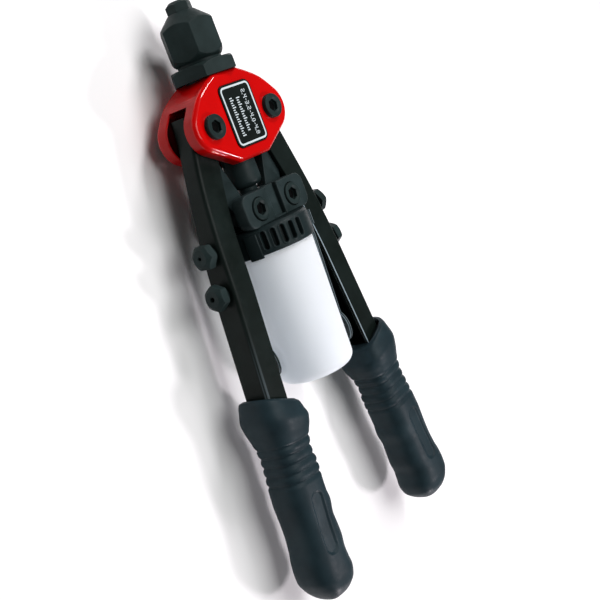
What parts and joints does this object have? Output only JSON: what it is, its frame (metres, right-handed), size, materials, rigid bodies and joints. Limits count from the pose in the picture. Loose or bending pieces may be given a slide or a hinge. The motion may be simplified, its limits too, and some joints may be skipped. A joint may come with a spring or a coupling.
{
  "type": "short arm riveter",
  "caption": "Two-handed lever riveter: the arms swing on a red head and, through toggle links, pull a jaw rod and its mandrel bottle back from the nosepiece.",
  "frame": {"origin": "mouth of the fitted nosepiece, on the bore axis", "axes": "+Y along the bore out of the nosepiece, +X to the tool's right seen from the labelled face, +Z out of the labelled face"},
  "size_m": [0.132, 0.3073, 0.0484],
  "materials": {
    "red_paint": "glossy bright red stove enamel",
    "label": "satin black plate with a pale border and plain tick marks",
    "black_oxide": "black oxide, satin",
    "bright_steel": "machined, lightly oiled",
    "black_paint": "satin black paint with a slight grain",
    "grip_rubber": "satin moulded rubber",
    "dark_steel": "blackened forging, satin",
    "black_plastic": "satin black moulding",
    "bottle_plastic": "milky translucent polyethylene"
  },
  "bodies": {
    "head_group": {"head": "red_paint", "label_plate": "label", "pivot_screws": "black_oxide", "pivot_nuts": "black_oxide", "pivot_sleeves": "bright_steel", "nose_housing": "black_oxide", "lock_nut": "black_oxide", "nosepiece": "black_oxide"},
    "right_lever": {"arm_right": "black_paint", "grip_right": "grip_rubber", "spare_nosepieces_right": "black_oxide", "link_pin_right": "bright_steel"},
    "left_lever": {"arm_left": "black_paint", "grip_left": "grip_rubber", "spare_nosepieces_left": "black_oxide", "link_pin_left": "bright_steel"},
    "puller": {"crosshead_front": "dark_steel", "crosshead_rear": "dark_steel", "crosshead_screws": "black_oxide", "pull_rod": "dark_steel", "jaw_case": "dark_steel", "jaw_spring": "bright_steel", "collar": "black_plastic", "bottle_clips": "black_plastic"},
    "right_link": {"link_right": "dark_steel"},
    "left_link": {"link_left": "dark_steel"},
    "jaw_set": {"jaws": "bright_steel", "jaw_pusher": "bright_steel"},
    "mandrel_bottle": {"bottle": "bottle_plastic"}
  },
  "joints": [
    {"name": "right_arm_swing", "type": "hinge", "parent": "head_group", "child": "right_lever", "pos_m": [0.02293, -0.0644, 0], "axis": [0, 0, 1], "range_deg": [-2.3, 28]},
    {"name": "left_arm_swing", "type": "hinge", "parent": "head_group", "child": "left_lever", "pos_m": [-0.02293, -0.0644, 0], "axis": [0, 0, -1], "range_deg": [-2.3, 28]},
    {"name": "puller_travel", "type": "slide", "parent": "head_group", "child": "puller", "axis": [0, 1, 0], "range_m": [-0.0006, 0.0062]},
    {"name": "right_link_swing", "type": "hinge", "parent": "puller", "child": "right_link", "pos_m": [0.0134, -0.1098, 0], "axis": [0, 0, 1], "range_deg": [-17.3, 1.5]},
    {"name": "left_link_swing", "type": "hinge", "parent": "puller", "child": "left_link", "pos_m": [-0.0134, -0.1098, 0], "axis": [0, 0, -1], "range_deg": [-17.3, 1.5]},
    {"name": "jaw_slide", "type": "slide", "parent": "puller", "child": "jaw_set", "axis": [0, -1, 0], "range_m": [0, 0.0025], "stiffness_N_per_m": 800, "springref_m": -0.004, "deforming": ["jaw_spring"]},
    {"name": "bottle_pull", "type": "slide", "parent": "puller", "child": "mandrel_bottle", "axis": [0, -1, 0], "range_m": [0, 0.02]}
  ],
  "couplings": [
    {"joint": "left_arm_swing", "follows": "right_arm_swing", "ratio": 1},
    {"joint": "puller_travel", "follows": "right_arm_swing", "m_per_rad": 0.012605},
    {"joint": "right_link_swing", "follows": "right_arm_swing", "ratio": -0.615},
    {"joint": "left_link_swing", "follows": "right_arm_swing", "ratio": -0.615}
  ]
}
